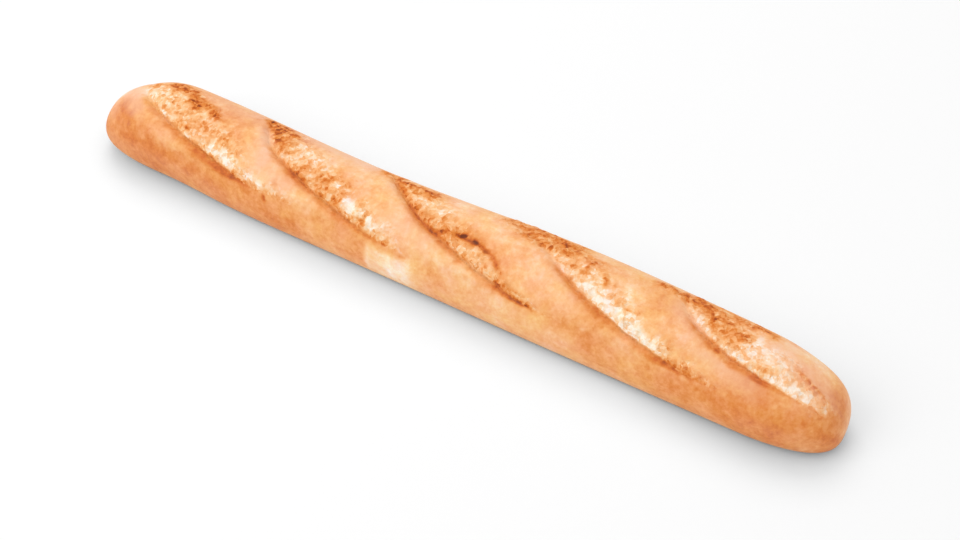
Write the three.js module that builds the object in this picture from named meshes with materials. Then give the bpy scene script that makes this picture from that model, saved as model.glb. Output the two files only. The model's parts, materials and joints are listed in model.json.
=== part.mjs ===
// A baguette: one long loaf with blunt round ends, a flat sole that it was baked on,
// and five slanting cuts that opened along its top in the oven.
// Units are millimetres. X runs along the loaf, Z is up, and the loaf rests on Z = 0.

import * as THREE from 'three';

// ---- Driving dimensions of the loaf -------------------------------------------------

const LENGTH = 560;              // tip to tip
const WIDTH = 70;                // at the belly
const HEIGHT = 55.5;             // from the sole to the ridge
const BELLY_SHARE = 0.45;        // height of the widest line, as a share of the height
const TIP_HEIGHT = 8;            // how high the two tips lie
const LEFT_CAP = 59;             // length of the rounded end on the -X side
const RIGHT_CAP = 56;            // length of the rounded end on the +X side
const BLUNTNESS = 0.35;          // power of the end curve: 0.5 is a half circle, less is blunter
const SOLE_DEPTH = 1.35;         // lower half's depth before the sole flattens it, in belly heights
const SOLE_BLEND = 2;            // height over which the side runs into the flat sole

// The dough didn't prove evenly: the far side (+Y) swells in long waves and draws in
// at both tips, and the near side (-Y) draws in a little behind the left end.
const SWELL = 2.3;
const SWELL_LENGTH = 312;
const SWELL_CREST = 60;
const DRAW_IN = 4;
const DRAW_IN_AT = 60;
const DRAW_IN_REACH = 50;
const LEFT_TIP_DRAW = 3.8;
const LEFT_TIP_AT = 16;
const LEFT_TIP_REACH = 18;
const RIGHT_TIP_DRAW = 2.4;
const RIGHT_TIP_AT = 30;         // measured from the right tip
const RIGHT_TIP_REACH = 28;

// ---- Driving dimensions of the cuts -------------------------------------------------

// Angles round the loaf are degrees from the top, and count down towards the near side.
// A cut is square to the loaf just past the ridge, and swings along it on either side.
const CUT_SQUARE = 26;           // the angle where a cut runs straight across
const NEAR_SPAN = 92;            // angle from there to a cut's near end
const NEAR_RUN = 119;            // distance along the loaf over that span
const NEAR_BEND = 2.1;           // how the run grows with the angle
const FAR_SPAN = 34;             // the same for the far end
const FAR_BEND = 1.6;
const TAIL_BEND = 6;             // a tail draws out the last stretch of a cut's near span
const LEAN_FROM = -5;            // over the ridge a cut may lean back, between these two angles
const LEAN_TO = 35;
const STEEPEST = 5;              // most that a cut may slant, in mm along the loaf for each mm round it
// The last cut trails out over the right end.
const CUTS = [
  { start: 25, opening: 82, nearSpan: NEAR_SPAN, tail: 0, farRun: 7, lean: 0, crown: 0.5 },
  { start: 130, opening: 60, nearSpan: NEAR_SPAN, tail: 0, farRun: 32, lean: 0, crown: 0.8 },
  { start: 240, opening: 51, nearSpan: NEAR_SPAN, tail: 0, farRun: 32, lean: 12, crown: 1 },
  { start: 350, opening: 50, nearSpan: NEAR_SPAN, tail: 0, farRun: 38, lean: 28, crown: 0.4 },
  { start: 445, opening: 70, nearSpan: 68, tail: 34, farRun: 32, lean: 4, crown: 0.4 },
];
const FAR_FADE = 66;             // angle over which a cut grows shallow towards its far end
const NEAR_FADE = 17;            // the same for its near end
const CROWN_FROM = -16;          // from here over the ridge a cut keeps only its crown share of depth
const CROWN_TO = 4;
const TIP_CLEAR = 10;            // no cut comes nearer to a tip than this
const TIP_FADE = 22;

// Under the loaf there is no cut, and the crease lines swing back to their starts.
const SWING_BACK_NEAR = [95, 175];
const SWING_BACK_FAR = [70, 130];

const LIP = 1.7;                 // height of the rounded crust lip before a cut
const LIP_ROUND = 6.5;           // from the lip's crest to the crease
const LIP_SHOULDER = 2.4;        // how square its shoulder is
const LIP_BACK = 26;             // from the lip's crest back to plain crust
const CREASE = 3.2;              // depth of the crease at the foot of the lip
const CREASE_REACH = 2.8;        // how quickly the crumb climbs out of the crease
const HOLLOW = 0.9;              // how far the opened crumb lies under the crust
const OPENING_AT = -18;          // angle where an opening is widest
const OPENING_NEAR = 54;         // angle from there to where the opening closes, on the near side
const OPENING_FAR = 75;          // the same on the far side
const NARROWEST = 0.01;          // square of the least width that an opening counts as having

const CRAG = 1.5;                // height of the crags in the opened crumb
const CRAG_SIZE = 8;
const CRAGS_END = [0.65, 1.2];   // shares of an opening's width between which the crags die out

// Flaps of torn crust that stand up along the far ends of the cuts, where the heat caught them.
// Each runs between two places, given as a station and an angle.
const FLAP_HEIGHT = 1.1;
const FLAPS = [
  { from: [48, 30], to: [62, 27], reach: 6.5 },
  { from: [62, 25], to: [76, 5], reach: 4.4 },
  { from: [128, 34], to: [136, 24], reach: 5.5 },
  { from: [138, 26], to: [150, 26], reach: 5 },
  { from: [224, 31], to: [260, 24], reach: 7 },
  { from: [316, 34], to: [365, 30], reach: 8 },
  { from: [332, 18], to: [362, 16], reach: 6 },
  { from: [362, 20], to: [388, 14], reach: 7 },
  { from: [427, 30], to: [450, 26], reach: 6 },
  { from: [450, 30], to: [468, 26], reach: 7 },
  { from: [470, 32], to: [500, 30], reach: 6 },
  { from: [466, 12], to: [485, 6], reach: 9 },
];

// ---- How finely the surface is divided ----------------------------------------------

const TOP_STEPS = 30;            // round the cut part of the crust
const BASE_STEPS = 22;           // round the plain sides and the sole
const TOP_FROM = 60;
const TOP_TO = -76;
const LEFT_STEPS = 13;
const RIGHT_STEPS = 17;
const CAP_CROWDING = 1.7;        // stations crowd towards the tips
const BETWEEN_CUTS = 18;         // stations from one cut to the next
const LIP_CROWDING = 1.5;        // stations crowd towards both sides of a crease

const CRUST = { color: 0xe39a58, roughness: 0.62, metalness: 0 };

// ---- Small helpers ------------------------------------------------------------------

const radians = THREE.MathUtils.degToRad;
const smooth = THREE.MathUtils.smoothstep;

// Distance round the loaf from its top line.
function arcOf(degrees) {
  return radians(degrees) * (WIDTH / 2);
}

// Even, repeatable roughness: random heights on a square lattice with rounded steps between.
function latticeHeight(i, j) {
  const wave = Math.sin(i * 127.1 + j * 311.7) * 43758.5453;
  return 2 * (wave - Math.floor(wave)) - 1;
}

function roughness(u, v) {
  const i = Math.floor(u);
  const j = Math.floor(v);
  const a = smooth(u - i, 0, 1);
  const b = smooth(v - j, 0, 1);
  const low = THREE.MathUtils.lerp(latticeHeight(i, j), latticeHeight(i + 1, j), a);
  const high = THREE.MathUtils.lerp(latticeHeight(i, j + 1), latticeHeight(i + 1, j + 1), a);
  return THREE.MathUtils.lerp(low, high, b);
}

// ---- The plain loaf -----------------------------------------------------------------

// Share of the full section at a station: 1 along the body, closing to 0 at the tips.
function fullness(station) {
  const left = THREE.MathUtils.clamp(1 - station / LEFT_CAP, 0, 1);
  const right = THREE.MathUtils.clamp(1 - (LENGTH - station) / RIGHT_CAP, 0, 1);
  const reach = Math.max(left, right);
  return Math.max(1 - reach * reach, 0) ** BLUNTNESS;
}

function unevenness(station, angle) {
  const farSide = 0.5 + 0.5 * Math.sin(angle);
  const swell = SWELL * Math.cos((2 * Math.PI * (station - SWELL_CREST)) / SWELL_LENGTH);
  const drawn = DRAW_IN * Math.exp(-(((station - DRAW_IN_AT) / DRAW_IN_REACH) ** 2));
  const leftTip = LEFT_TIP_DRAW * Math.exp(-(((station - LEFT_TIP_AT) / LEFT_TIP_REACH) ** 2));
  const rightTip = RIGHT_TIP_DRAW * Math.exp(-(((LENGTH - station - RIGHT_TIP_AT) / RIGHT_TIP_REACH) ** 2));
  return (swell - leftTip - rightTip) * farSide - drawn * (1 - farSide);
}

// Where the dough met the baking stone its underside is exactly flat.
function onSole(z) {
  if (z > SOLE_BLEND) {
    return z;
  }
  return z < -SOLE_BLEND ? 0 : (z + SOLE_BLEND) ** 2 / (4 * SOLE_BLEND);
}

// ---- The cuts -----------------------------------------------------------------------

// Station of a crease at an angle round the loaf.
function creaseStation(cut, degrees) {
  const near = THREE.MathUtils.clamp(CUT_SQUARE - degrees, 0, cut.nearSpan);
  const far = THREE.MathUtils.clamp(degrees - CUT_SQUARE, 0, FAR_SPAN);
  const nearRun = NEAR_RUN * (near / NEAR_SPAN) ** NEAR_BEND;
  const tail = cut.tail * (near / cut.nearSpan) ** TAIL_BEND;
  const farRun = cut.farRun * (far / FAR_SPAN) ** FAR_BEND;
  const lean = cut.lean * smooth(degrees, LEAN_FROM, LEAN_TO);
  const nearBack = 1 - smooth(-degrees, ...SWING_BACK_NEAR);
  const farBack = 1 - smooth(degrees, ...SWING_BACK_FAR);
  return cut.start + (nearRun + tail) * nearBack - (farRun + lean) * farBack;
}

// How much a distance along the loaf shrinks when it is measured square to the crease.
function squareness(cut, degrees) {
  const step = 0.5;
  const run = creaseStation(cut, degrees - step) - creaseStation(cut, degrees + step);
  return 1 / Math.hypot(1, Math.min(run / arcOf(2 * step), STEEPEST));
}

// Width of the opening, measured square to its crease.
function openingWidth(cut, degrees, square) {
  const reach = degrees > OPENING_AT ? OPENING_FAR : OPENING_NEAR;
  const spread = 1 - ((degrees - OPENING_AT) / reach) ** 2;
  return cut.opening * Math.sqrt(Math.max(spread, NARROWEST)) * square;
}

// How far a cut has opened at a place: 1 along its middle, 0 past its ends.
function openness(cut, station, degrees) {
  const farEnd = CUT_SQUARE + FAR_SPAN;
  const nearEnd = CUT_SQUARE - cut.nearSpan;
  const far = 1 - smooth(degrees, farEnd - FAR_FADE, farEnd);
  const near = smooth(degrees, nearEnd, nearEnd + NEAR_FADE);
  const tip = smooth(Math.min(station, LENGTH - station), TIP_CLEAR, TIP_CLEAR + TIP_FADE);
  const crown = 1 - (1 - cut.crown) * smooth(degrees, CROWN_FROM, CROWN_TO);
  return far * near * tip * crown;
}

function lipHeight(distance) {
  if (distance > -LIP_ROUND) {
    const over = (distance + LIP_ROUND) / LIP_ROUND;
    return LIP - (LIP + CREASE) * over ** LIP_SHOULDER;
  }
  const back = Math.min((-distance - LIP_ROUND) / LIP_BACK, 1);
  return LIP * (0.5 + 0.5 * Math.cos(Math.PI * back));
}

// The crumb climbs out of the crease, a little craggy, and ends level with the next crust.
function crumbHeight(distance, width, station, arc) {
  const inside = 1 - smooth(distance, width * CRAGS_END[0], width * CRAGS_END[1]);
  const crease = -CREASE * Math.exp(-distance / CREASE_REACH);
  const hollow = -HOLLOW * (1 - smooth(distance, 0, width));
  const torn = inside * smooth(distance, 0, CREASE_REACH);
  const crags = CRAG * torn * roughness(station / CRAG_SIZE, arc / CRAG_SIZE);
  return crease + hollow + crags;
}

// Height of one flap: full along its line, and gone a little more than its reach away.
function flapHeight(flap, station, arc) {
  const start = new THREE.Vector2(flap.from[0], arcOf(flap.from[1]));
  const end = new THREE.Vector2(flap.to[0], arcOf(flap.to[1]));
  const here = new THREE.Vector2(station, arc);
  const run = end.clone().sub(start);
  const share = THREE.MathUtils.clamp(here.clone().sub(start).dot(run) / run.lengthSq(), 0, 1);
  const away = here.distanceTo(start.addScaledVector(run, share));
  return FLAP_HEIGHT * Math.exp(-((away / flap.reach) ** 2));
}

// Height of the crust over the plain loaf.
function relief(station, degrees) {
  const arc = arcOf(degrees);
  let height = 0;
  CUTS.forEach((cut) => {
    const square = squareness(cut, degrees);
    const distance = (station - creaseStation(cut, degrees)) * square;
    const width = openingWidth(cut, degrees, square);
    const rise = distance < 0 ? lipHeight(distance) : crumbHeight(distance, width, station, arc);
    height += openness(cut, station, degrees) * rise;
  });
  return height + Math.max(...FLAPS.map((flap) => flapHeight(flap, station, arc)));
}

// ---- The finished surface -----------------------------------------------------------

function surfacePoint(station, degrees) {
  const angle = radians(degrees);
  const full = fullness(station);
  const belly = BELLY_SHARE * HEIGHT;
  const middle = TIP_HEIGHT + (belly - TIP_HEIGHT) * full;
  const grow = unevenness(station, angle) + relief(station, degrees);
  const size = full * (1 + grow / (WIDTH / 2));
  const rise = Math.cos(angle) > 0 ? HEIGHT - belly : belly * SOLE_DEPTH;
  const y = (WIDTH / 2) * Math.sin(angle) * size;
  const z = middle + rise * Math.cos(angle) * size;
  return new THREE.Vector3(station - LENGTH / 2, y, onSole(z));
}

// Angles round the loaf, close together over the cuts and wider over the sides and sole.
function anglesRound() {
  const angles = [];
  for (let i = 0; i < TOP_STEPS; i += 1) {
    angles.push(TOP_FROM + ((TOP_TO - TOP_FROM) * i) / TOP_STEPS);
  }
  for (let i = 0; i < BASE_STEPS; i += 1) {
    angles.push(TOP_TO + ((TOP_FROM - 360 - TOP_TO) * i) / BASE_STEPS);
  }
  return angles.map((degrees) => (degrees < -180 ? degrees + 360 : degrees));
}

// Shares from 0 to 1 that crowd towards both ends.
function crowded(share) {
  const near = 0.5 * (2 * Math.min(share, 1 - share)) ** LIP_CROWDING;
  return share < 0.5 ? near : 1 - near;
}

// Stations along the loaf at one angle. They follow the creases, so each lip stays crisp.
function stationsAlong(degrees) {
  const creases = CUTS.map((cut) => creaseStation(cut, degrees));
  const stations = [];
  for (let i = 1; i < LEFT_STEPS; i += 1) {
    stations.push(creases[0] * (i / LEFT_STEPS) ** CAP_CROWDING);
  }
  for (let cut = 0; cut + 1 < creases.length; cut += 1) {
    for (let i = 0; i < BETWEEN_CUTS; i += 1) {
      stations.push(THREE.MathUtils.lerp(creases[cut], creases[cut + 1], crowded(i / BETWEEN_CUTS)));
    }
  }
  const last = creases[creases.length - 1];
  for (let i = 0; i < RIGHT_STEPS; i += 1) {
    stations.push(LENGTH - (LENGTH - last) * (1 - i / RIGHT_STEPS) ** CAP_CROWDING);
  }
  return stations;
}

function loafGeometry() {
  const rows = anglesRound().map((degrees) => stationsAlong(degrees).map((s) => surfacePoint(s, degrees)));
  const across = rows[0].length;
  const points = rows.flat();
  const leftTip = points.length;
  const rightTip = leftTip + 1;
  points.push(surfacePoint(0, 0), surfacePoint(LENGTH, 0));

  const faces = [];
  rows.forEach((row, r) => {
    const here = r * across;
    const next = ((r + 1) % rows.length) * across;
    faces.push(leftTip, next, here);
    for (let c = 0; c + 1 < across; c += 1) {
      faces.push(here + c, next + c, here + c + 1);
      faces.push(here + c + 1, next + c, next + c + 1);
    }
    faces.push(rightTip, here + across - 1, next + across - 1);
  });

  const geometry = new THREE.BufferGeometry().setFromPoints(points);
  geometry.setIndex(faces);
  geometry.computeBoundingBox();
  const { min, max } = geometry.boundingBox;
  geometry.translate(-(min.x + max.x) / 2, -(min.y + max.y) / 2, -min.z);
  geometry.computeVertexNormals();
  return geometry;
}

const loaf = new THREE.Mesh(loafGeometry(), new THREE.MeshStandardMaterial(CRUST));
loaf.name = 'loaf';

const baguette = new THREE.Group();
baguette.name = 'baguette';
baguette.add(loaf);

export default baguette;
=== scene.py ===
# %% [markdown]
# # A baguette
# This lesson dresses one loaf of bread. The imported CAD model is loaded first. It fixes how long the
# loaf is and where it lies, and the finished loaf keeps to its box. The loaf is then modelled again
# at a much finer grain, because a crust lives from small things: rounded lips beside each cut, torn
# crumb, scorched spots and toasted edges.

import json
import math

import bmesh
import bpy
import numpy as np
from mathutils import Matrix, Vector

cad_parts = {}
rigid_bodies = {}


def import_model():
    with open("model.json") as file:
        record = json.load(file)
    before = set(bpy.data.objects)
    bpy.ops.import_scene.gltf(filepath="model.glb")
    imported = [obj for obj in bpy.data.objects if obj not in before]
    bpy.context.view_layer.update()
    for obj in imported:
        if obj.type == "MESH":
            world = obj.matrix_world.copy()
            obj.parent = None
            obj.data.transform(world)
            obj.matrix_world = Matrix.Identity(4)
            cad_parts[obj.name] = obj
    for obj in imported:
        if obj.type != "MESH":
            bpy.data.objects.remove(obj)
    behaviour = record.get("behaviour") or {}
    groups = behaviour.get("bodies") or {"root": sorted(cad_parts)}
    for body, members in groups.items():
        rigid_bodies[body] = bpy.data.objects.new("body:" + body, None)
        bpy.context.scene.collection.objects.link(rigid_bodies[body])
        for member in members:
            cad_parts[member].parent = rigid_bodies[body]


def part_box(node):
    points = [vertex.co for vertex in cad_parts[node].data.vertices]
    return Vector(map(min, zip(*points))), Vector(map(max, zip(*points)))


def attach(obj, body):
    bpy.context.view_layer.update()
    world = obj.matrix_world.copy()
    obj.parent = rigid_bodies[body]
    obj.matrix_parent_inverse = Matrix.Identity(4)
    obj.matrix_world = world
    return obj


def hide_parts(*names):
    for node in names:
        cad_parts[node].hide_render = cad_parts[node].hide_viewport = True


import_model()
cad_low, cad_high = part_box("loaf")
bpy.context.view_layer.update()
print("loaf in the frame, mm:", [round(1000 * side) for side in cad_high - cad_low])

# %% [markdown]
# ## The camera
# Bread is usually shown from above and a little to one side, so that the cuts are seen running over
# the ridge. The camera could be aimed by eye. Here it is placed by plain facts, its height over the
# table, its turn round the loaf, its distance and the point it looks at, because they are easy to
# change later.

# %% Camera
MM = 0.001
VIEW_HEIGHT = math.radians(48)
VIEW_TURN = math.radians(30.07)
VIEW_DISTANCE = 1044.4 * MM
AIM = Vector((27.1, -7.5, 24.7)) * MM
LENS = 60
SENSOR = 36
NEAREST_SEEN = 10 * MM

towards_camera = Vector((
    math.sin(VIEW_TURN) * math.cos(VIEW_HEIGHT),
    -math.cos(VIEW_TURN) * math.cos(VIEW_HEIGHT),
    math.sin(VIEW_HEIGHT),
))
camera = bpy.data.objects.new("camera", bpy.data.cameras.new("camera"))
bpy.context.scene.collection.objects.link(camera)
camera.location = AIM + towards_camera * VIEW_DISTANCE
camera.rotation_euler = towards_camera.to_track_quat("Z", "Y").to_euler()
camera.data.lens = LENS
camera.data.sensor_width = SENSOR
camera.data.clip_start = NEAREST_SEEN
bpy.context.scene.camera = camera
print("camera at, mm:", [round(1000 * c) for c in camera.location])

# %% [markdown]
# ## The size of the dough
# A baker rolls the dough to a long even sausage with blunt ends and lays it down to prove. Its
# length is read from the CAD loaf. It is a little narrower and lower than the CAD loaf's box,
# because the lips beside the cuts stand out from it.

# %% Sizes of the dough
LENGTH = cad_high.x - cad_low.x
WIDTH = 70 * MM
HEIGHT = 55.5 * MM
print("dough, mm:", round(LENGTH / MM), "x", round(WIDTH / MM), "x", round(HEIGHT / MM, 1))

# %% [markdown]
# ## A ball pulled out into a sausage
# The mesh could be a cylinder with rounded ends, but a ball has something better: poles that close
# the two tips neatly. Its poles are turned to the tips, its right half is pulled away, and the long
# band that opens between the halves is subdivided into hundreds of rings.

# %% A ball with its poles at the tips
ROUND_STEPS = 124
BALL_RINGS = 41

bpy.ops.object.select_all(action="DESELECT")
bpy.ops.mesh.primitive_uv_sphere_add(segments=ROUND_STEPS, ring_count=BALL_RINGS, radius=HEIGHT / 2)
loaf = bpy.context.object
loaf.name = "baguette_loaf"
loaf.data.name = "baguette_loaf"
bpy.ops.object.mode_set(mode="EDIT")
bpy.ops.transform.rotate(value=math.pi / 2, orient_axis="Y", center_override=(0, 0, 0))
print("ball across, mm:", [round(side / MM, 1) for side in loaf.dimensions])

# %% Pull the halves apart and subdivide the band
FIRST_CUTS = 7
SECOND_CUTS = 94


def pick(choose_vertex=None, choose_edge=None):
    """Select, in edit mode, the vertices or the edges that a test accepts, and nothing else."""
    bpy.ops.mesh.select_all(action="DESELECT")
    mesh = bmesh.from_edit_mesh(loaf.data)
    if choose_vertex:
        for vertex in mesh.verts:
            vertex.select = choose_vertex(vertex)
    if choose_edge:
        for edge in mesh.edges:
            edge.select = choose_edge(edge)
    bmesh.update_edit_mesh(loaf.data)


def is_long(edge):
    ends = sorted(vertex.co.x for vertex in edge.verts)
    return ends[1] - ends[0] > HEIGHT / 2


pick(choose_vertex=lambda vertex: vertex.co.x > 0)
bpy.ops.transform.translate(value=(LENGTH - HEIGHT, 0, 0))
for number in (FIRST_CUTS, SECOND_CUTS):
    pick(choose_edge=is_long)
    bpy.ops.mesh.subdivide(number_cuts=number)
bpy.ops.object.mode_set(mode="OBJECT")
RINGS = BALL_RINGS - 1 + FIRST_CUTS + (FIRST_CUTS + 1) * SECOND_CUTS
print("vertices:", len(loaf.data.vertices), "of", RINGS * ROUND_STEPS + 2, "in", RINGS, "rings")

# %% [markdown]
# ## A grid over the dough
# The shape is worked out as height over plain dough, at a station along the loaf and an angle round
# it. The steps round the loaf are fine over the top, where the cuts are, and wide under the loaf,
# where the crust is plain. The rings are crowded towards the tips, where the dough curves fastest.

# %% Stations and angles
# Angles round the loaf are degrees from the top, and count down towards the near side.
TOP_ROUND = 94
TOP_ANGLES = (-84, 64)
TIP_RINGS = 56
TIP_REACH = 14 * MM
TIP_CROWDING = 2.2

around = np.concatenate([
    np.linspace(TOP_ANGLES[0], TOP_ANGLES[1], TOP_ROUND, endpoint=False),
    np.linspace(TOP_ANGLES[1], TOP_ANGLES[0] + 360, ROUND_STEPS - TOP_ROUND, endpoint=False),
])
around = np.sort(np.where(around >= 180, around - 360, around))
tip_rings = TIP_REACH * (np.arange(1, TIP_RINGS + 1) / TIP_RINGS) ** TIP_CROWDING
middle_rings = np.linspace(TIP_REACH, LENGTH - TIP_REACH, RINGS - 2 * TIP_RINGS + 2)[1:-1]
along = np.concatenate([tip_rings, middle_rings, LENGTH - tip_rings[::-1]])

station, degrees = np.meshgrid(along, around, indexing="ij")
arc = np.radians(degrees) * WIDTH / 2
print("grid of", station.shape, "- ring step, mm:", round(np.diff(middle_rings)[0] / MM, 2),
      "- step round, mm:", round(np.diff(arc[0])[ROUND_STEPS // 2] / MM, 2))

# %% [markdown]
# ## Roughness that stays the same
# Torn crumb and baked crust are uneven at every size. A Displace modifier with a noise texture could
# roughen the loaf, but then the colours couldn't follow the same lumps. So the noise is worked out
# here, on the grid. Each height comes from the place alone, which gives the same loaf every time.


# %% Smooth steps and soft noise
def smooth(value, low, high):
    """A step from 0 at low to 1 at high, rounded at both ends."""
    share = np.clip((value - low) / (high - low), 0, 1)
    return share * share * (3 - 2 * share)


def lattice_height(i, j):
    """One fixed height from -1 to 1 for each corner of a lattice, with no visible order."""
    wave = np.sin(i * 127.1 + j * 311.7) * 43758.5453
    return 2 * (wave - np.floor(wave)) - 1


def roughness(size, at=0):
    """Soft random heights from -1 to 1 over the whole loaf, one for each patch of this size."""
    u = station / size + at
    v = arc / size + 2 * at
    i, j = np.floor(u), np.floor(v)
    a, b = smooth(u - i, 0, 1), smooth(v - j, 0, 1)
    low = lattice_height(i, j) * (1 - a) + lattice_height(i + 1, j) * a
    high = lattice_height(i, j + 1) * (1 - a) + lattice_height(i + 1, j + 1) * a
    return low * (1 - b) + high * b


print("roughness from", round(roughness(10 * MM).min(), 2), "to", round(roughness(10 * MM).max(), 2))

# %% Ragged heights and lumps
# Each layer of noise: its weight, how many times finer it is, and where its lattice starts.
RAGGED_LAYERS = [(0.6, 1, 3), (0.3, 2.1, 7), (0.15, 4.3, 11)]
LUMP_LAYERS = [(0.75, 1, 17), (0.45, 2.1, 23), (0.3, 4.1, 29)]


def ragged(size):
    """Roughness with smaller roughness on it."""
    return sum(weight * roughness(size / finer, at) for weight, finer, at in RAGGED_LAYERS)


def lumps(size):
    """Rounded lumps with sharp valleys between them, from 0 to about 1."""
    return sum(weight * np.abs(roughness(size / finer, at)) for weight, finer, at in LUMP_LAYERS)


print("lumps from", round(lumps(9 * MM).min(), 2), "to", round(lumps(9 * MM).max(), 2))

# %% [markdown]
# ## The plain dough
# Before it was cut the dough was a plain sausage with blunt ends, but it didn't prove evenly. The
# far side swells in long waves and draws in at both tips, and the near side draws in a little
# behind the left end. Where the dough met the baking stone, its underside is exactly flat. Shaping
# this by hand with proportional editing would do as well. Formulas keep each of these apart.

# %% Blunt ends
LEFT_CAP = 59 * MM
RIGHT_CAP = 56 * MM
BLUNTNESS = 0.35


def fullness(at):
    """How thick the dough is at a station, from 0 at the tips to 1."""
    left = np.clip(1 - at / LEFT_CAP, 0, 1)
    right = np.clip(1 - (LENGTH - at) / RIGHT_CAP, 0, 1)
    reach = np.maximum(left, right)
    return np.maximum(1 - reach * reach, 0) ** BLUNTNESS


print("fullness 10 mm from the left tip:", round(float(fullness(10 * MM)), 2))

# %% Uneven sides
SWELL = 2.3 * MM
SWELL_LENGTH = 312 * MM
SWELL_CREST = 60 * MM
DRAW_IN = 4 * MM
DRAW_IN_AT = 60 * MM
DRAW_IN_REACH = 50 * MM
LEFT_TIP_DRAW = 3.8 * MM
LEFT_TIP_AT = 16 * MM
LEFT_TIP_REACH = 18 * MM
RIGHT_TIP_DRAW = 2.4 * MM
RIGHT_TIP_AT = 30 * MM
RIGHT_TIP_REACH = 28 * MM


def hill(distance, crest, reach):
    """A soft hill from 0 to 1 over a distance, used for all that fades away on both sides."""
    return np.exp(-((distance - crest) / reach) ** 2)


def unevenness(at, angle):
    """How far the side stands out past an even sausage, in metres."""
    far_side = 0.5 + 0.5 * np.sin(angle)
    swell = SWELL * np.cos(2 * np.pi * (at - SWELL_CREST) / SWELL_LENGTH)
    drawn = DRAW_IN * hill(at, DRAW_IN_AT, DRAW_IN_REACH)
    left_tip = LEFT_TIP_DRAW * hill(at, LEFT_TIP_AT, LEFT_TIP_REACH)
    right_tip = RIGHT_TIP_DRAW * hill(LENGTH - at, RIGHT_TIP_AT, RIGHT_TIP_REACH)
    return (swell - left_tip - right_tip) * far_side - drawn * (1 - far_side)


uneven = unevenness(station, np.radians(degrees))
print("sides uneven by, mm:", round(uneven.min() / MM, 1), "to", round(uneven.max() / MM, 1))

# %% Flat sole
SOLE_BLEND = 2 * MM


def on_sole(z):
    """Heights below the sole are lifted to it, and the side runs into it over the blend."""
    blend = (z + SOLE_BLEND) ** 2 / (4 * SOLE_BLEND)
    return np.where(z > SOLE_BLEND, z, np.where(z < -SOLE_BLEND, 0, blend))


print("dough at 0, 1, 2 and 3 mm now lies at, mm:", np.round(on_sole(np.arange(4) * MM) / MM, 2))

# %% [markdown]
# ## Where the cuts run
# Just before baking, the baker slashes the dough five times. Each cut crosses the loaf squarely just
# behind the ridge, and bends more and more along the loaf as it comes down the near side. A curve
# object could draw its line. A formula, from the angle to the station, is more use here, because
# the lip, the crumb and the toasted band of a cut are all measured from that line.
#
# Each cut has a start, the station where it crosses the loaf squarely, and an opening, its width.
# It runs down the near side over its near span, in degrees, where its tail turns along the loaf. It
# runs back by its far run on the far side, where it may also lean back, and over the top it opened
# only as far as its crown says.

# %% Sizes of the cuts
NEAR_SPAN = 92
CUTS = [
    dict(start=25, opening=82, near_span=NEAR_SPAN, tail=0, far_run=7, lean=0, crown=0.5),
    dict(start=130, opening=60, near_span=NEAR_SPAN, tail=0, far_run=32, lean=0, crown=0.8),
    dict(start=240, opening=51, near_span=NEAR_SPAN, tail=0, far_run=32, lean=12, crown=1),
    dict(start=350, opening=50, near_span=NEAR_SPAN, tail=0, far_run=38, lean=28, crown=0.4),
    dict(start=445, opening=70, near_span=68, tail=34, far_run=32, lean=4, crown=0.4),
]
for cut in CUTS:
    for length in ("start", "opening", "tail", "far_run", "lean"):
        cut[length] *= MM
print(len(CUTS), "cuts, starting at, mm:", [round(cut["start"] / MM) for cut in CUTS])

# %% Line of a cut
CUT_SQUARE = 26
NEAR_RUN = 119 * MM
NEAR_BEND = 2.1
TAIL_BEND = 6
FAR_SPAN = 34
FAR_BEND = 1.6
LEAN_FROM = -5
LEAN_TO = 35


def crease_station(cut, degrees):
    near = np.clip(CUT_SQUARE - degrees, 0, cut["near_span"])
    far = np.clip(degrees - CUT_SQUARE, 0, FAR_SPAN)
    near_run = NEAR_RUN * (near / NEAR_SPAN) ** NEAR_BEND
    tail = cut["tail"] * (near / cut["near_span"]) ** TAIL_BEND
    far_run = cut["far_run"] * (far / FAR_SPAN) ** FAR_BEND
    lean = cut["lean"] * smooth(degrees, LEAN_FROM, LEAN_TO)
    return cut["start"] + near_run + tail - far_run - lean


print("creases on the ridge at, mm:", [round(crease_station(cut, 0) / MM) for cut in CUTS])

# %% Slant of a cut, and how far it opened
SLANT_STEP = 0.5
STEEPEST = 5
FAR_FADE = 66
NEAR_FADE = 17
CROWN_FROM = -16
CROWN_TO = 4
TIP_CLEAR = 10 * MM
TIP_FADE = 22 * MM


def slant(cut, degrees):
    """How far the crease moves along the loaf for each step round it, both in metres."""
    run = crease_station(cut, degrees - SLANT_STEP) - crease_station(cut, degrees + SLANT_STEP)
    return np.minimum(run / (math.radians(2 * SLANT_STEP) * WIDTH / 2), STEEPEST)


def openness(cut):
    """How far a cut opened at each place, from 0 where it is closed to 1."""
    far_end = CUT_SQUARE + FAR_SPAN
    near_end = CUT_SQUARE - cut["near_span"]
    far = 1 - smooth(degrees, far_end - FAR_FADE, far_end)
    near = smooth(degrees, near_end, near_end + NEAR_FADE)
    tip = smooth(np.minimum(station, LENGTH - station), TIP_CLEAR, TIP_CLEAR + TIP_FADE)
    crown = 1 - (1 - cut["crown"]) * smooth(degrees, CROWN_FROM, CROWN_TO)
    return far * near * tip * crown


print("slant halfway down the near side:", [round(float(slant(cut, -20)), 2) for cut in CUTS])

# %% [markdown]
# ## Lips, creases and opened crumb
# When the cuts open, the crust before each one curls up into a rounded lip, and the crumb swells out
# of the crease at its foot. Far from the crease the crumb ends level with the next stretch of crust,
# along a ragged border. The crumb is torn, so it is covered with lumps. Sculpting would do all this
# by hand. Here each cut is a small sum of heights, so the same few sizes shape all five.

# %% The lip before a crease
LIP = 1.7 * MM
LIP_ROUND = 6.5 * MM
LIP_SHOULDER = 2.4
LIP_BACK = 26 * MM
CREASE = 3.2 * MM


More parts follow.
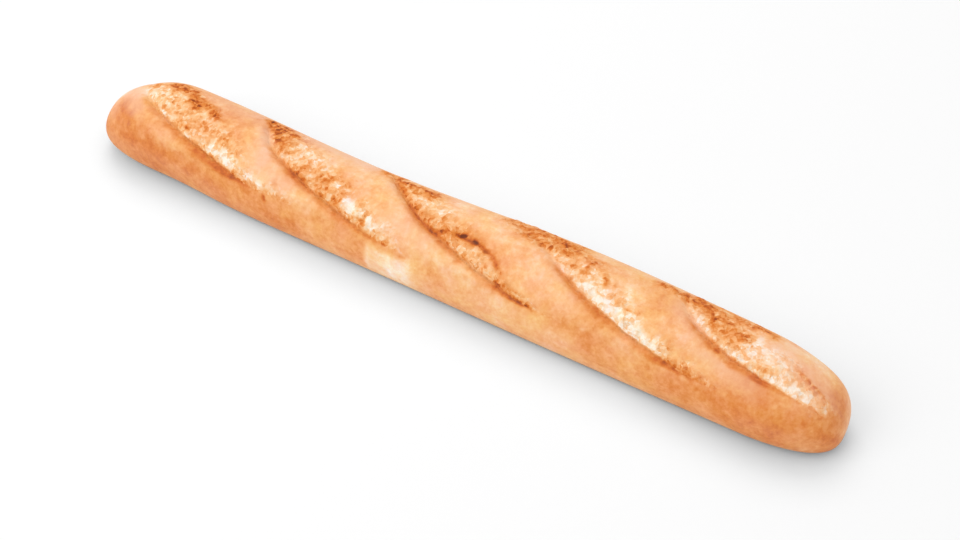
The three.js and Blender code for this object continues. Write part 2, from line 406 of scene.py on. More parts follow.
def lip_height(distance):
    over = np.clip((distance + LIP_ROUND) / LIP_ROUND, 0, 1)
    back = np.clip((-distance - LIP_ROUND) / LIP_BACK, 0, 1)
    front = LIP - (LIP + CREASE) * over ** LIP_SHOULDER
    return np.where(distance > -LIP_ROUND, front, LIP * (0.5 + 0.5 * np.cos(np.pi * back)))


lip_samples = lip_height(np.array([-10, -5, 0]) * MM)
print("lip 10, 5 and 0 mm before the crease, mm:", np.round(lip_samples / MM, 1))

# %% The crumb past a crease
CREASE_REACH = 2.8 * MM
HOLLOW = 0.9 * MM
CRAG = 2.4 * MM
CRAG_SIZE = 8 * MM
CRAG_LEVEL = 0.3

crags = lumps(CRAG_SIZE)


def crumb_height(distance, width, inside):
    crease = -CREASE * np.exp(-np.maximum(distance, 0) / CREASE_REACH)
    hollow = -HOLLOW * (1 - smooth(distance, 0, width))
    return crease + hollow + CRAG * inside * (crags - CRAG_LEVEL)


print("crags from", round(crags.min(), 2), "to", round(crags.max(), 2), "- level at", CRAG_LEVEL)

# %% Relief of one cut
CREASE_RAGGED = 0.9 * MM
CREASE_PATCH = 5 * MM
OPENING_AT = -18
OPENING_NEAR = 54
OPENING_FAR = 75
NARROWEST = 0.01
BORDER_RAGGED = 9 * MM
BORDER_PATCH = 12 * MM
BORDER_FREE = 12 * MM
CRUMB_RISES = (0.4 * MM, 2.8 * MM)
CRUMB_ENDS = (0.4, 1.3)
CRUMB_SHOWS = (0.02, 0.25)

border = ragged(BORDER_PATCH)
crease_border = ragged(CREASE_PATCH)


def opened_width(cut, square):
    reach = np.where(degrees > OPENING_AT, OPENING_FAR, OPENING_NEAR)
    rounded = 1 - ((degrees - OPENING_AT) / reach) ** 2
    return cut["opening"] * np.sqrt(np.maximum(rounded, NARROWEST)) * square


def cut_relief(cut):
    """Height, crumb mask, distance past the crease, width of the opening and how open it is."""
    square = 1 / np.hypot(1, slant(cut, degrees))
    distance = (station - crease_station(cut, degrees)) * square + CREASE_RAGGED * crease_border
    width = opened_width(cut, square)
    open_here = openness(cut)
    ends_at = distance + BORDER_RAGGED * border * smooth(distance, 0, BORDER_FREE)
    crumb_ends = smooth(ends_at, width * CRUMB_ENDS[0], width * CRUMB_ENDS[1])
    inside = smooth(distance, *CRUMB_RISES) * (1 - crumb_ends)
    rise = np.where(distance < 0, lip_height(distance), crumb_height(distance, width, inside))
    return open_here * rise, inside * smooth(open_here, *CRUMB_SHOWS), distance, width, open_here


print("border of the crumb is ragged by, mm:", round(BORDER_RAGGED * border.max() / MM, 1))

# %% The toasted and shaded band of one cut
# How dark each cut's edge is, as toast and as painted shade in its crease, and how many mm past
# the crease it is darkest, first on the near side and then over the crown.
NEAR_TOAST_AND_SHADE = [(0.9, -1.5), (1.0, 0.2), (1.0, 0.2), (0.9, -0.6), (0.8, -2.0)]
CROWN_TOAST = [(0.0, 0.0), (0.7, 8.0), (0.9, 1.4), (0.2, 8.0), (0.25, -3.0)]
NEAR_BAND = 2.8 * MM
CROWN_BAND = 4.8 * MM
LIP_TOAST_AND_SHADE_REACH = 6 * MM
LIP_TOAST_AND_SHADE_SHARE = 0.2
CREASE_SHADE_AND_TOAST = 0.6
CREASE_AT = 1.0 * MM
CREASE_BAND = 1.8 * MM
TOAST = 0.9
TOAST_UNEVEN = 0.5
TOAST_PATCH = 30 * MM

near_side = 1 - smooth(degrees, CROWN_FROM, CROWN_TO)
toast_patches = TOAST + TOAST_UNEVEN * ragged(TOAST_PATCH)


def toast_and_shade_band(distance, near_toast_and_shade, near_line, crown_toast, crown_line):
    # The band near the crease is partly toast and partly painted shade on the lip's front.
    edge = (1 - LIP_TOAST_AND_SHADE_SHARE) * hill(distance, near_line * MM, NEAR_BAND)
    near_band = edge + LIP_TOAST_AND_SHADE_SHARE * hill(distance, 0, LIP_TOAST_AND_SHADE_REACH)
    crown_band = crown_toast * hill(distance, crown_line * MM, CROWN_BAND)
    band = near_side * near_toast_and_shade * near_band + (1 - near_side) * crown_band
    # in_crease is painted shade, a brown darkening at the foot of the crease.
    in_crease = CREASE_SHADE_AND_TOAST * near_side * hill(distance, CREASE_AT, CREASE_BAND)
    return np.maximum(band * toast_patches, in_crease)


print("toast patches from", round(toast_patches.min(), 2), "to", round(toast_patches.max(), 2))

# %% All five cuts together
# BEHIND_LIP and BEHIND_REACH place a painted highlight on the crest of each lip.
BEHIND_LIP = -10 * MM
BEHIND_REACH = 7 * MM
STRETCHED = 22 * MM
TOAST_SHOWS = (0, 0.25)

height = np.zeros_like(station)
opened = np.zeros_like(station)
toast_and_crease_shade = np.zeros_like(station)
behind = np.zeros_like(station)
stretched = np.zeros_like(station)
for cut, near, crown in zip(CUTS, NEAR_TOAST_AND_SHADE, CROWN_TOAST):
    rise, crumb, distance, width, open_here = cut_relief(cut)
    band = toast_and_shade_band(distance, *near, *crown)
    height += rise
    opened = np.maximum(opened, crumb)
    toast_and_crease_shade = np.maximum(toast_and_crease_shade, band * smooth(open_here, *TOAST_SHOWS))
    behind = np.maximum(behind, hill(distance, BEHIND_LIP, BEHIND_REACH) * open_here * near_side)
    stretched = np.maximum(stretched, hill(distance, width, STRETCHED) * open_here)
print("relief, mm: from", round(height.min() / MM, 1), "to", round(height.max() / MM, 1))

# %% [markdown]
# ## Flaps, scorched spots and flour
# No oven bakes evenly. Thin flaps of torn crust catch the heat and go dark, small blisters burn, and
# the newest crumb stays pale with flour. These places are single and have no rule, so each is a
# stroke given one by one: the station in mm and the degrees from the top where it starts, the same
# for its end, its half width in mm and its strength. Vertex paint would do the same with a mouse,
# but a list of strokes can be read, moved and made stronger one at a time.

# %% Paint strokes on the grid
STROKE_PATCH = 5 * MM
STROKE_RAGGED = 0.45

stroke_edge = 1 + STROKE_RAGGED * ragged(STROKE_PATCH)


def painted(strokes, gather=np.maximum):
    """All the strokes together, from 0 to their strength, with ragged edges."""
    total = np.zeros_like(station)
    for (start_mm, start_degrees), (end_mm, end_degrees), half_width, strength in strokes:
        from_along = station - start_mm * MM
        from_round = arc - math.radians(start_degrees) * WIDTH / 2
        run_along = (end_mm - start_mm) * MM
        run_round = math.radians(end_degrees - start_degrees) * WIDTH / 2
        share = (from_along * run_along + from_round * run_round) / (run_along ** 2 + run_round ** 2)
        share = np.clip(share, 0, 1)
        away = np.hypot(from_along - share * run_along, from_round - share * run_round)
        total = gather(total, strength * np.exp(-(away * stroke_edge / (half_width * MM)) ** 2))
    return total


print("edges of the strokes ragged from", round(stroke_edge.min(), 2), "to", round(stroke_edge.max(), 2))

# %% Flaps of crust, and places where the crust tore beside a cut
FLAPS = [
    ((34, 21), (48, 27), 3.0, 0.9),
    ((46, 27), (62, 25), 6.5, 1.1),
    ((63, 28), (70, 16), 5.5, 1.2),
    ((69, 10), (76, 5), 4.2, 1.5),
    ((78, 15), (94, 3), 4.2, 1.0),
    ((128, 34), (136, 24), 5.5, 1.1),
    ((138, 26), (150, 26), 5.0, 0.8),
    ((142, 18), (154, 10), 4.5, 0.4),
    ((224, 31), (260, 24), 7.0, 0.95),
    ((316, 34), (365, 30), 8.0, 1.0),
    ((332, 18), (362, 16), 6.0, 1.0),
    ((362, 22), (382, 18), 6.0, 0.7),
    ((380, 12), (378, -1), 2.6, 0.9),
    ((392, 6), (395, -4), 2.2, 0.9),
    ((427, 30), (450, 26), 6.0, 1.0),
    ((450, 30), (468, 26), 7.0, 1.1),
    ((470, 32), (500, 30), 6.0, 0.9),
    ((467, 9), (485, 1), 8.0, 0.9),
    ((478, -5), (486, -7), 4.0, 0.6),
    ((525, -5), (547, -17), 2.0, 0.4),
]
TORN = [
    ((190, -8), (210, -18), 6.0, 0.8),
    ((505, 2), (520, 2), 5.0, 0.9),
    ((514, -8), (543, -22), 8.0, 1.0),
    ((528, -25), (544, -32), 6.0, 1.0),
]

flaps = painted(FLAPS)
torn = np.minimum(painted(FLAPS + TORN), 1)
print(len(FLAPS), "flaps and", len(TORN), "torn places")

# %% Scorched spots
SCORCHES = [
    ((77, -25), (81, -26), 2.2, 0.6),
    ((58, -1), (59, -2), 1.5, 0.35),
    ((42, -2), (44, -4), 1.8, 0.35),
    ((154, -66), (155, -70), 1.4, 0.7),
    ((160, -45), (161, -46), 1.6, 0.5),
    ((187, -16), (194, -19), 2.2, 0.5),
    ((204, -35), (207, -37), 2.2, 0.6),
    ((222, -45), (229, -46), 1.8, 0.8),
    ((262, -67), (265, -66), 1.4, 0.5),
    ((274, -22), (292, -19), 1.7, 0.6),
    ((292, -17), (311, -19), 1.9, 1.0),
    ((296, -15), (298, -14), 1.6, 1.9),
    ((305, -16), (307, -17), 1.6, 1.9),
    ((311, -19), (322, -26), 1.9, 0.9),
    ((322, -26), (330, -38), 1.9, 0.7),
    ((330, -38), (331, -56), 1.8, 0.5),
    ((331, -56), (361, -62), 2.2, 0.35),
    ((414, -20), (417, -22), 1.8, 0.5),
    ((441, -58), (443, -57), 1.5, 0.5),
    ((449, -57), (451, -57), 1.5, 0.4),
    ((456, -59), (458, -60), 1.6, 0.5),
    ((465, -62), (467, -63), 1.5, 0.45),
    ((475, -22), (477, -23), 1.5, 0.6),
    ((521, 0), (523, -1), 1.2, 0.4),
    ((523, -4), (526, -5), 1.4, 0.5),
]

scorches = painted(SCORCHES)
print(len(SCORCHES), "scorched spots")

# %% Floured places
FLOURED = [
    ((63, 11), (66, 8), 2.2, 0.9),
    ((75, -16), (78, -17), 3.0, 0.6),
    ((89, -5), (97, -4), 2.6, 0.6),
    ((56, -18), (58, -19), 2.4, 0.7),
    ((71, -34), (96, -34), 2.4, 0.7),
    ((104, -38), (151, -52), 5.0, 0.8),
    ((164, -9), (167, -10), 3.2, 0.7),
    ((172, 6), (186, -4), 5.0, 0.6),
    ((176, -20), (179, -21), 2.0, 0.8),
    ((199, -17), (210, -20), 2.4, 0.6),
    ((213, -32), (223, -39), 4.4, 1.0),
    ((233, -43), (240, -45), 3.2, 0.6),
    ((261, -60), (265, -61), 2.2, 0.8),
    ((268, 7), (280, -3), 4.0, 0.2),
    ((292, -25), (304, -29), 3.4, 0.3),
    ((320, -27), (325, -38), 1.8, 0.5),
    ((356, -50), (364, -62), 2.6, 0.5),
    ((492, -8), (516, -12), 7.0, 0.5),
    ((367, -7), (384, -17), 2.6, 0.7),
    ((384, -16), (439, -46), 6.0, 1.0),
    ((447, 18), (457, 2), 2.8, 0.7),
    ((457, 2), (470, -11), 2.2, 0.7),
    ((493, 22), (497, 8), 2.6, 0.9),
    ((384, 7), (389, 2), 2.6, 0.5),
    ((336, 13), (352, 2), 2.4, 0.5),
    ((476, -16), (506, -30), 3.6, 0.9),
    ((506, -30), (550, -27), 4.4, 0.8),
]

floured = painted(FLOURED)
print(len(FLOURED), "floured places")

# %% Strokes that change the shape
FLAP = 1.1 * MM
FLAP_EVEN = 0.6
FLAP_RAGGED = 0.8
FLAP_PATCH = 4 * MM
FLAP_TOAST = 1.05
SCORCH = 0.8 * MM
FLOUR = 0.5 * MM

flap_edge = FLAP_EVEN + FLAP_RAGGED * ragged(FLAP_PATCH)
height += FLAP * flaps * flap_edge - SCORCH * scorches + FLOUR * floured * crags
height += CRAG * np.maximum(torn - opened, 0) * (crags - CRAG_LEVEL)
opened = np.maximum(opened, torn)
toast_and_crease_shade = np.maximum(toast_and_crease_shade, FLAP_TOAST * flaps)
print("relief, mm: from", round(height.min() / MM, 1), "to", round(height.max() / MM, 1))

# %% [markdown]
# ## From heights to a loaf
# The section of the dough is two half ovals that meet at the belly, its widest line, and the sole
# cuts the lower one off. The section shrinks towards the tips, and the relief is added to it
# outwards. The sausage made above has one vertex for each point of the grid. So nothing more is
# modelled here: every vertex only moves to its place.

# %% The surface over the grid
BELLY_SHARE = 0.45
TIP_HEIGHT = 8 * MM
SOLE_DEPTH = 1.35


def surface(at, angle, rise):
    full = fullness(at)
    belly = BELLY_SHARE * HEIGHT
    middle = TIP_HEIGHT + (belly - TIP_HEIGHT) * full
    size = full * (1 + (unevenness(at, angle) + rise) / (WIDTH / 2))
    half = np.where(np.cos(angle) > 0, HEIGHT - belly, belly * SOLE_DEPTH)
    y = WIDTH / 2 * np.sin(angle) * size
    z = on_sole(middle + half * np.cos(angle) * size)
    return np.stack([at - LENGTH / 2, y, z], axis=-1)


grid = surface(station, np.radians(degrees), height)
tips = surface(np.array([0, LENGTH]), np.zeros(2), np.zeros(2))
print("highest point, mm:", round(grid[..., 2].max() / MM, 1), "- tips, mm:", round(tips[0, 2] / MM, 1))

# %% Put every vertex in its place
ON_AXIS = 0.001 * MM

places = np.empty(len(loaf.data.vertices) * 3)
loaf.data.vertices.foreach_get("co", places)
places = places.reshape(-1, 3)
is_tip = np.hypot(places[:, 1], places[:, 2]) < ON_AXIS
ring_of = np.zeros(len(places), int)
body = np.flatnonzero(~is_tip)
ring_of[body[np.argsort(places[body, 0], kind="stable")]] = np.arange(len(body)) // ROUND_STEPS
turn = np.degrees(np.arctan2(places[:, 1], places[:, 2]))
step_of = np.round((turn + 180) / (360 / ROUND_STEPS)).astype(int) % ROUND_STEPS

tip_places = tips[(places[:, 0] > 0).astype(int)]
new_places = np.where(is_tip[:, None], tip_places, grid[ring_of, step_of])
box_middle = (new_places.min(0) + new_places.max(0)) / 2
new_places[:, 0] += (cad_low.x + cad_high.x) / 2 - box_middle[0]
new_places[:, 1] += (cad_low.y + cad_high.y) / 2 - box_middle[1]
loaf.data.vertices.foreach_set("co", new_places.ravel())
loaf.data.update()
print("moved sideways by, mm:", round(float((cad_low.y + cad_high.y) / 2 - box_middle[1]) / MM, 2))

# %% [markdown]
# ## How hard each place was baked, and painted light
# The crest of the loaf rose fast and is paler, partly baked so and partly a painted sheen, and the
# sides are darker, partly baked further and partly painted shade. The hotter parts of the oven bake
# it further too, and each lip's crest, just before its crease, carries a painted highlight. One
# squarish patch on the near side is pale because the loaf touched its neighbour there. Wide faint
# strokes, the washes, then bake the crust a little more or a little less over single places, and
# strokes of painted sheen give it a pale pinkish tint.

# %% Washes that bake the crust further
WASHES = [
    ((17, -67), (62, -68), 28, 0.11),
    ((21, -38), (50, -46), 8, 0.12),
    ((16, -12), (34, -26), 8, 0.13),
    ((26, 26), (38, 26), 8, 0.11),
    ((62, -79), (109, -81), 22, 0.05),
    ((109, -2), (127, -12), 8, 0.05),
    ((123, 22), (145, 19), 9, 0.06),
    ((256, 10), (282, -4), 11, 0.06),
    ((348, -54), (408, -47), 14, 0.16),
    ((338, -23), (354, -30), 9, 0.06),
    ((404, 12), (442, 8), 18, 0.1),
    ((428, -2), (445, -9), 9, 0.16),
    ((472, -60), (502, -64), 20, 0.07),
    ((517, -71), (547, -67), 24, 0.05),
    ((517, -48), (537, -47), 10, 0.05),
    ((527, 14), (552, -12), 12, 0.11),
    ((553, 10), (553, -70), 9, 0.14),
    ((549, 38), (553, 4), 8, 0.22),
    ((162, -24), (176, -34), 8, 0.05),
    ((24, -24), (34, -60), 10, 0.13),
    ((50, 34), (70, 34), 8, 0.1),
    ((93, 7), (99, 16), 9, 0.16),
    ((114, 6), (117, -10), 8, 0.08),
    ((128, 20), (146, 18), 8, 0.12),
    ((170, 16), (196, 16), 9, 0.08),
    ((448, 30), (452, 6), 8, 0.2),
    ((350, 36), (350, 24), 9, 0.1),
    ((330, -36), (336, -46), 8, 0.1),
    ((506, -34), (516, -41), 8, 0.16),
    ((170, -13), (196, -17), 9, 0.17),
    ((214, 20), (218, 2), 8, 0.08),
    ((284, -4), (296, -8), 8, 0.1),
    ((293, -20), (316, -15), 8, 0.18),
    ((132, -58), (140, -62), 6, 0.18),
    ((154, -69), (160, -70), 8, 0.08),
    ((211, -51), (217, -53), 6, 0.1),
    ((252, -67), (257, -68), 8, 0.1),
    ((389, -67), (395, -73), 9, 0.14),
    ((474, -68), (494, -69), 9, 0.06),
    ((94, -50), (112, -54), 4.5, 0.12),
    ((112, -54), (128, -58), 4.5, 0.12),
    ((254, -7), (278, -24), 5, 0.14),
    ((404, -45), (424, -53), 6, 0.1),
    ((528, -8), (536, -20), 8, 0.16),
    ((108, 20), (112, -10), 10, 0.1),
    ((190, -6), (210, -20), 8, 0.12),
    ((488, 10), (492, -2), 6, 0.14),
    ((326, 10), (356, -3), 7, 0.1),
    ((328, -38), (332, -42), 6, 0.14),
]

print(len(WASHES), "darker washes")

# %% Washes that leave the crust paler, and painted sheen
PALE_WASHES = [
    ((38, 6), (54, -6), 10, 0.13),
    ((278, -84), (373, -85), 26, 0.165),
    ((517, 18), (542, 24), 14, 0.08),
    ((9, 22), (11, -14), 8, 0.18),
    ((130, 13), (141, -19), 8, 0.08),
    ((252, 9), (256, -4), 7, 0.08),
    ((447, 14), (455, -15), 7, 0.1),
    ((494, 4), (530, -18), 11, 0.17),
    ((106, -16), (118, -38), 9, 0.1),
    ((148, -16), (156, -24), 8, 0.12),
    ((330, -48), (334, -62), 9, 0.18),
    ((228, -16), (250, -38), 9, 0.06),
    ((396, -14), (412, -44), 9, 0.09),
    ((310, -41), (312, -39), 7, 0.05),
    ((404, 24), (412, -4), 5, 0.16),
    ((46, -18), (56, -22), 6, 0.15),
    ((424, -58), (438, -84), 10, 0.08),
    ((306, -42), (312, -44), 5, 0.1),
]
# Strokes of painted sheen: a pale pinkish tint that stands for light glancing off the crust.
PAINTED_SHEEN_STROKES = [
    ((11, -12), (16, -36), 8, 0.25),
    ((14, 10), (34, -22), 10, 0.5),
    ((133, 12), (145, -29), 8, 0.5),
    ((145, -34), (165, -42), 7, 0.35),
    ((77, 30), (120, 26), 9, 0.35),
    ((152, 33), (214, 36), 9, 0.5),
    ((246, -31), (272, -37), 8, 0.3),
    ((362, -10), (380, -24), 5, 0.4),
    ((443, 6), (464, -10), 8, 0.4),
    ((473, -31), (502, -43), 8, 0.35),
    ((508, 11), (542, -9), 12, 0.45),
    ((23, -84), (114, -90), 7, 0.12),
    ((507, -88), (547, -82), 7, 0.12),
]

print(len(PALE_WASHES), "paler washes and", len(PAINTED_SHEEN_STROKES), "dry places")

# %% The pale patch
PATCH_LEFT = (233 * MM, 239 * MM)
PATCH_RIGHT = (265 * MM, 277 * MM)
PATCH_TOP = (64, 76)
PATCH_FOOT = (100, 125)
PATCH_RAGGED = 3 * MM
PATCH_RAGGED_DEGREES = 4

left_edge = smooth(station + PATCH_RAGGED * border, *PATCH_LEFT)
top_edge = smooth(-degrees + PATCH_RAGGED_DEGREES * border, *PATCH_TOP)
pale_patch = left_edge * (1 - smooth(station, *PATCH_RIGHT))
pale_patch = pale_patch * top_edge * (1 - smooth(-degrees, *PATCH_FOOT))
print("pale patch over", round(100 * float(pale_patch.mean()), 1), "% of the grid")

# %% How far the crust is baked, from 0 for dough to 1 for dark crust
EVEN_BAKE = 0.6
SIDE_BAKE_AND_SHADE = 0.08
SIDE_MIDDLE = -5
SIDES = (35, 85)
HOT_BAKE = 0.18
HOT_ON_TOP = 0.3
COOLEST_AT = 338 * MM
HOT_LENGTH = 430 * MM
CREST_PALE_AND_SHEEN = 0.15
CREST = (-18, 5)
BAKE_UNEVEN = 0.08
BAKE_PATCH = 60 * MM
STRETCHED_PALE = 0.08
LIP_CREST_HIGHLIGHT = 0.08
PATCH_PALE = 0.45

# Part of this is painted light: the darker sides stand partly for shade, the paler crest partly for sheen,
# and each lip's crest gets a painted highlight.
hot = 0.5 - 0.5 * np.cos(2 * np.pi * (station - COOLEST_AT) / HOT_LENGTH)
sides = smooth(np.abs(degrees - SIDE_MIDDLE), *SIDES)
crest = smooth(degrees, *CREST)
baked = EVEN_BAKE + SIDE_BAKE_AND_SHADE * sides + HOT_BAKE * hot * (HOT_ON_TOP + (1 - HOT_ON_TOP) * sides)
baked += BAKE_UNEVEN * ragged(BAKE_PATCH) - CREST_PALE_AND_SHEEN * crest
baked += painted(WASHES, np.add) - painted(PALE_WASHES, np.add)
baked -= STRETCHED_PALE * stretched * (1 - sides) + LIP_CREST_HIGHLIGHT * behind + PATCH_PALE * pale_patch
print("baked from", round(baked.min(), 2), "to", round(baked.max(), 2))

# %% [markdown]
# ## Masks for the baker's colours
# The finish has to know where the loaf opened, how hard each place was baked, and where shade and
# sheen are painted. A painted image could say so, but the shape already does: the same numbers that
# made it are kept on the mesh, one value a vertex, and the material reads them by name.

# %% Keep the masks on the mesh
TIPS_BAKED = 0.8
TOAST_HIDES_SHEEN = (0.1, 0.6)


def keep_mask(name, values, at_tips=0.0):
    layer = loaf.data.attributes.new(name, "FLOAT", "POINT")
    per_vertex = np.where(is_tip, at_tips, values[ring_of, step_of])
    layer.data.foreach_set("value", per_vertex.astype(np.float32))


keep_mask("opened", opened)
# This mask holds toast on the lips and flaps, and painted shade in the creases.
keep_mask("toast_and_crease_shade", toast_and_crease_shade)
keep_mask("crags", crags)
keep_mask("scorches", scorches)
keep_mask("floured", floured)
keep_mask("painted_sheen", painted(PAINTED_SHEEN_STROKES) * (1 - smooth(toast_and_crease_shade, *TOAST_HIDES_SHEEN)))
keep_mask("baked", baked, at_tips=TIPS_BAKED)
bpy.ops.object.shade_smooth()
print("masks kept:", [layer.name for layer in loaf.data.attributes if layer.data_type == "FLOAT"])

# %% [markdown]
# ## The crust's finish
# Bread has one colour scale, from cream through gold to burnt brown, and each place on the loaf has
# its own stop on it. So the crust and the crumb each get a colour ramp, and the masks and some noise
# only decide how far along the ramp a place is. That keeps the colours together, as an oven does.


# %% The oven's colour scale
def colour(red, green, blue):
    """A colour as seen on screen, given from 0 to 255, in the linear values that shaders use."""
    shares = [value / 255 for value in (red, green, blue)]
    return [s / 12.92 if s <= 0.04045 else ((s + 0.055) / 1.055) ** 2.4 for s in shares] + [1]


OVEN_SCALE = [
    (0.0, colour(251, 238, 220)),
    (0.15, colour(250, 221, 190)),
    (0.3, colour(248, 202, 155)),
    (0.45, colour(245, 185, 128)),
    (0.6, colour(239, 166, 101)),
    (0.72, colour(231, 149, 80)),
    (0.84, colour(223, 131, 52)),
    (1.0, colour(206, 101, 16)),
    (1.2, colour(158, 68, 2)),
    (1.4, colour(112, 44, 0)),
]

print("oven scale of", len(OVEN_SCALE), "stops, from cream to burnt brown")

# %% A material that reads the loaf's own coordinates
crust = bpy.data.materials.new("baked crust")
crust.use_nodes = True
tree = crust.node_tree
shader = tree.nodes["Principled BSDF"]
place = tree.nodes.new("ShaderNodeTexCoord").outputs["Object"]
print("material:", crust.name)


# %% Helpers that give a value for each place
def mask(name):
    node = tree.nodes.new("ShaderNodeAttribute")
    node.attribute_name = name
    return node.outputs["Fac"]


def noise(size, detail=3, rough=0.5):
    node = tree.nodes.new("ShaderNodeTexNoise")
    node.inputs["Scale"].default_value = 1 / size
    node.inputs["Detail"].default_value = detail
    node.inputs["Roughness"].default_value = rough
    tree.links.new(place, node.inputs["Vector"])
    return node.outputs["Fac"]


def cells(size, output="Color"):
    """Small irregular patches, each of one random value, or how far a point is from its middle."""
    node = tree.nodes.new("ShaderNodeTexVoronoi")
    node.inputs["Scale"].default_value = 1 / size
    tree.links.new(place, node.inputs["Vector"])
    return node.outputs[output]


print("helpers: mask, noise, cells")


# %% Helpers that calculate
def spread(value, low, high, to_low=0.0, to_high=1.0):
    node = tree.nodes.new("ShaderNodeMapRange")
    for name, given in (("From Min", low), ("From Max", high), ("To Min", to_low), ("To Max", to_high)):
        node.inputs[name].default_value = given
    tree.links.new(value, node.inputs["Value"])
    return node.outputs["Result"]


def calculate(operation, *values):
    node = tree.nodes.new("ShaderNodeMath")
    node.operation = operation
    for socket, value in zip(node.inputs, values):
        if isinstance(value, (int, float)):
            socket.default_value = value
        else:
            tree.links.new(value, socket)
    return node.outputs["Value"]


def total_of(base, *parts):
    """A sum of masks, each with its own weight, on a base value."""
    total = base
    for weight, value in parts:
        total = calculate("MULTIPLY_ADD", value, weight, total)
    return total


print("helpers: spread, calculate, total_of")


# %% Helpers that give a colour
def scale(value, stops):
    """A colour ramp whose stops may run past 1, as an oven's do."""
    node = tree.nodes.new("ShaderNodeValToRGB")
    elements = node.color_ramp.elements
    last = stops[-1][0]
    while len(elements) < len(stops):
        elements.new(1)
    for element, (position, shade) in zip(elements, stops):
        element.position = position / last
        element.color = shade
    tree.links.new(spread(value, 0, last), node.inputs["Fac"])
    return node.outputs["Color"]


def blend(share, first, second, kind="MIX"):
    """Two colours mixed. A Mix node's colour sockets are number 6 and 7, and its colour result is 2."""
    node = tree.nodes.new("ShaderNodeMix")
    node.data_type = "RGBA"
    node.blend_type = kind
    tree.links.new(share, node.inputs["Factor"])
    for socket, value in ((node.inputs[6], first), (node.inputs[7], second)):
        if isinstance(value, list):
            socket.default_value = value
        else:
            tree.links.new(value, socket)
    return node.outputs[2]


print("helpers: scale, blend")

# %% [markdown]
# ## How far along the scale
# The masks change slowly from one place to the next. Real crust is also mottled, from patches as
# wide as a finger down to specks, so noises of five sizes are added, and small cells of one shade
# each. Each of them is about a half on average, and the base takes about as much off again.

# %% Crust and crumb on the oven's scale
CRUST_BASE = -0.8
CRUMB_BASE = -0.97

mottle = noise(26 * MM, 2)
blotch = noise(8 * MM, 3, 0.6)
grain = noise(1.6 * MM, 2)
speckle = noise(3.4 * MM, 2, 0.6)
patch = noise(11 * MM, 2)

crust_baked = total_of(
    CRUST_BASE,
    (1.0, mask("baked")),
    (0.5, mottle),
    (0.42, blotch),
    (0.32, speckle),
    (0.14, grain),
    (0.1, cells(3.0 * MM)),
    (0.4, mask("toast_and_crease_shade")),
    (0.45, mask("scorches")),
)
crumb_baked = total_of(
    CRUMB_BASE,
    (0.8, mask("baked")),
    (0.22, mask("crags")),
    (0.35, speckle),
    (0.5, patch),
    (0.5, cells(3.4 * MM)),
    (0.44, cells(2.0 * MM)),
    (0.4, mask("toast_and_crease_shade")),
    (0.5, mask("scorches")),
    (-0.46, mask("floured")),
)
print("crust nodes so far:", len(tree.nodes))

# %% [markdown]
# ## Crust, crumb and clouds
# The border between crust and crumb is torn, so noise is added to its mask before it is cut off.
# Wide faint clouds then pull the crust a little towards yellow here and towards pink there, and the
# strokes of painted sheen get their pale pinkish tint. A second colour ramp could tint the crust
# too, but clouds that multiply the colour leave the light and dark of the oven's scale alone.

# %% Colour of crust and crumb
EDGE_BASE = -0.45
EDGE_CUT = (0.15, 0.85)
CLOUD_SIZE = 15 * MM
CLOUD_EDGE = (0.3, 0.7)
YELLOW_CLOUD = [1.0, 1.03, 0.86, 1]
PINK_CLOUD = [1.0, 0.97, 1.14, 1]
CLOUDS_ON_CRUMB = 0.4
PAINTED_SHEEN_TINT = colour(241, 186, 156)

opened_edge = total_of(EDGE_BASE, (1.0, mask("opened")), (0.5, noise(2.4 * MM, 2)), (0.4, noise(9 * MM, 2)))
opened_here = spread(opened_edge, *EDGE_CUT)
baked_colour = blend(opened_here, scale(crust_baked, OVEN_SCALE), scale(crumb_baked, OVEN_SCALE))
clouds = blend(spread(noise(CLOUD_SIZE, 3, 0.6), *CLOUD_EDGE), YELLOW_CLOUD, PINK_CLOUD)
clouded = spread(opened_here, 0, 1, 1, CLOUDS_ON_CRUMB)
clouded_colour = blend(clouded, baked_colour, clouds, "MULTIPLY")
# The painted sheen tint is laid over the crust and crumb here.
surface_colour = blend(mask("painted_sheen"), clouded_colour, PAINTED_SHEEN_TINT)
print("crust nodes so far:", len(tree.nodes))

# %% [markdown]
# ## The loaf close to the table
# Hardly any light gets under the loaf, so its lowest few millimetres are shaded brown. And orange
# bread would throw orange light on the paper beside it, where white paper under soft light stays
# grey. The Light Path node tells which ray is asking. A ray that comes from the paper is given a
# plain grey loaf, dark below and pale above, and every other ray gets the bread. Towards the ends,
# where the loaf curves up off the paper, the dark part reaches higher.

# %% Shade at the sole, and what the paper sees
DARK_BOUNCE = [0.1, 0.1, 0.1, 1]
PALE_BOUNCE = [0.95, 0.95, 0.95, 1]
BOUNCE_FROM = 9 * MM
BOUNCE_FROM_AT_ENDS = 22 * MM
ENDS_FROM = 150 * MM
ENDS_TO = 235 * MM
RIM = colour(118, 82, 56)
RIM_SHADE = 0.8
RIM_FROM = 4 * MM
RIM_TO = 10 * MM

split = tree.nodes.new("ShaderNodeSeparateXYZ")
tree.links.new(place, split.inputs["Vector"])
above_sole = split.outputs["Z"]
from_middle = calculate("ABSOLUTE", split.outputs["X"])
pale_from = spread(from_middle, ENDS_FROM, ENDS_TO, BOUNCE_FROM, BOUNCE_FROM_AT_ENDS)
bounce = blend(spread(calculate("DIVIDE", above_sole, pale_from), 0, 1), DARK_BOUNCE, PALE_BOUNCE)
bounced = tree.nodes.new("ShaderNodeLightPath").outputs["Is Diffuse Ray"]
shaded = blend(spread(above_sole, RIM_FROM, RIM_TO, RIM_SHADE, 0), surface_colour, RIM)
tree.links.new(blend(bounced, shaded, bounce), shader.inputs["Base Color"])
print("crust nodes so far:", len(tree.nodes))

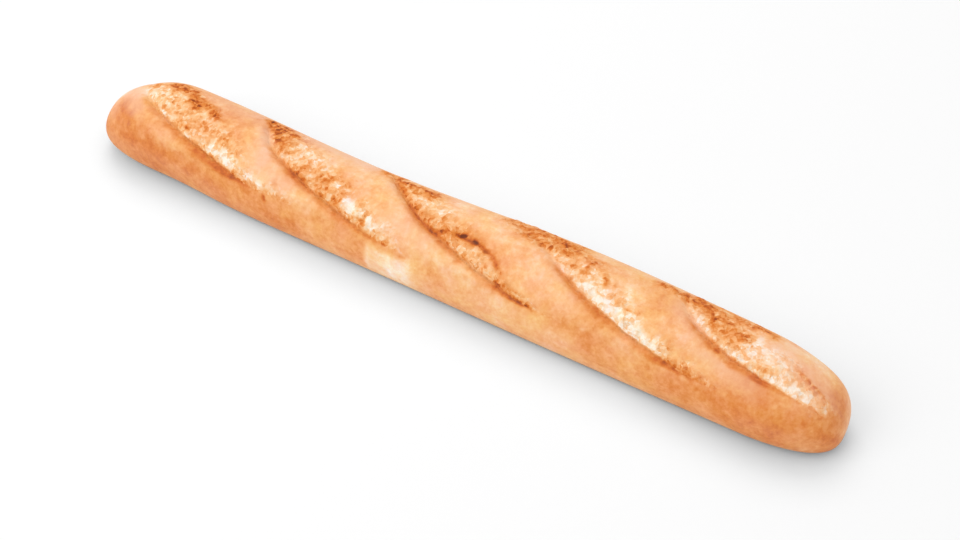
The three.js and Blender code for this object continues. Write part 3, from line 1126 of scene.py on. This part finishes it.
# %% [markdown]
# ## Gloss and fine bumps
# A baked crust shines a little and torn crumb doesn't, so the border between them drives the
# roughness as well. Grain finer than the mesh could be modelled only with millions of faces. It
# doesn't change the loaf's outline, so a bump does it: soft grain on the crust, pores in the crumb.

# %% Roughness, bump and gloss
CRUST_ROUGHNESS = 0.5
CRUMB_ROUGHNESS = 0.85
GLOSS = 0.4
BUMP = 0.5 * MM

crust_grain = total_of(0.0, (0.6, noise(2.2 * MM, 2)), (0.35, noise(0.8 * MM, 2)))
crumb_grain = total_of(0.0, (0.8, noise(1.7 * MM, 3, 0.65)), (-0.9, cells(2.6 * MM, "Distance")))
fine_height = blend(opened_here, crust_grain, crumb_grain)
bump = tree.nodes.new("ShaderNodeBump")
bump.inputs["Distance"].default_value = BUMP
tree.links.new(fine_height, bump.inputs["Height"])
tree.links.new(bump.outputs["Normal"], shader.inputs["Normal"])
tree.links.new(spread(opened_here, 0, 1, CRUST_ROUGHNESS, CRUMB_ROUGHNESS), shader.inputs["Roughness"])
shader.inputs["Specular IOR Level"].default_value = GLOSS
loaf.data.materials.append(crust)
print("crust nodes:", len(tree.nodes))

# %% [markdown]
# ## Floor and light
# The loaf lies on white paper under soft studio light. Most of the light comes from all round, from
# the white room itself, so the only real shadow is the narrow one where the loaf touches the paper.
# Two large softboxes add a little direction: one behind lights the crest and the far slope, and one
# in front opens up the near side. Both stand two metres away, so the paper is lit evenly.

# %% Paper on the floor
FLOOR_SIDE = 8
PAPER = 0.9
PAPER_ROUGHNESS = 0.9

bpy.ops.mesh.primitive_plane_add(size=FLOOR_SIDE)
floor = bpy.context.object
floor.name = "floor"
paper = bpy.data.materials.new("white paper")
paper.use_nodes = True
paper_shader = paper.node_tree.nodes["Principled BSDF"]
paper_shader.inputs["Base Color"].default_value = (PAPER, PAPER, PAPER, 1)
paper_shader.inputs["Roughness"].default_value = PAPER_ROUGHNESS
floor.data.materials.append(paper)
print("floor across, m:", floor.dimensions.x)

# %% Light from the room
ROOM_LIGHT = 0.82

world = bpy.data.worlds.new("soft white room")
world.use_nodes = True
world.node_tree.nodes["Background"].inputs["Color"].default_value = (1, 1, 1, 1)
world.node_tree.nodes["Background"].inputs["Strength"].default_value = ROOM_LIGHT
bpy.context.scene.world = world
bpy.context.scene.view_settings.view_transform = "Standard"
print("room light:", ROOM_LIGHT)


# %% Two softboxes
def softbox(name, location, side, watts):
    """A square lamp that faces the middle of the loaf."""
    lamp = bpy.data.objects.new(name, bpy.data.lights.new(name, "AREA"))
    bpy.context.scene.collection.objects.link(lamp)
    lamp.data.shape = "SQUARE"
    lamp.data.size = side
    lamp.data.energy = watts
    lamp.location = location
    lamp.rotation_euler = lamp.location.to_track_quat("Z", "Y").to_euler()


softbox("softbox behind", (-0.7, 0.9, 2.2), side=1.4, watts=11.5)
softbox("softbox in front", (-1.2, -1.7, 1.9), side=1.8, watts=18)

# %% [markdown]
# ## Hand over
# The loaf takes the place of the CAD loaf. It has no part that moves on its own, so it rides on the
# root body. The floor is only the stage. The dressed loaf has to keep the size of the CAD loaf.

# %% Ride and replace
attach(loaf, "root")
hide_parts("loaf")
print("on the root body:", loaf.name)
